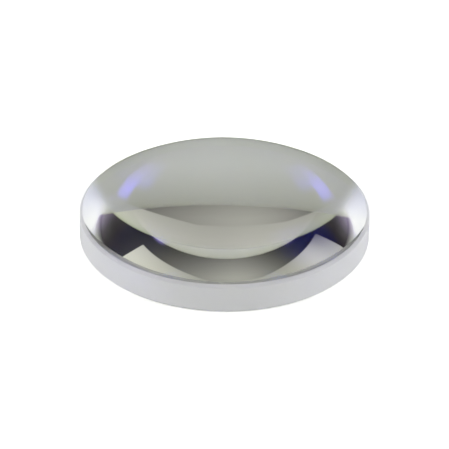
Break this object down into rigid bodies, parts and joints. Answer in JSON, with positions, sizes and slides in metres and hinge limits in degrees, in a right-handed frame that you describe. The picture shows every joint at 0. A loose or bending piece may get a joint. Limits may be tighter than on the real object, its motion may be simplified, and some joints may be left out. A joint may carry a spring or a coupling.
{
  "type": "plano-convex lens",
  "caption": "Round plano-convex glass lens with a domed polished face, a flat polished face and a ground cylindrical edge.",
  "frame": {"origin": "centre of the flat face, which is the bottom of the lens", "axes": "+Z along the optical axis, out through the convex face; X and Y lie in the flat face"},
  "size_m": [0.03, 0.03, 0.0078],
  "materials": {
    "crown_glass": "polished and anti-reflection coated on both faces, fine-ground and frosted on the edge and the bevels"
  },
  "bodies": {
    "root": {"lens": "crown_glass"}
  },
  "joints": []
}
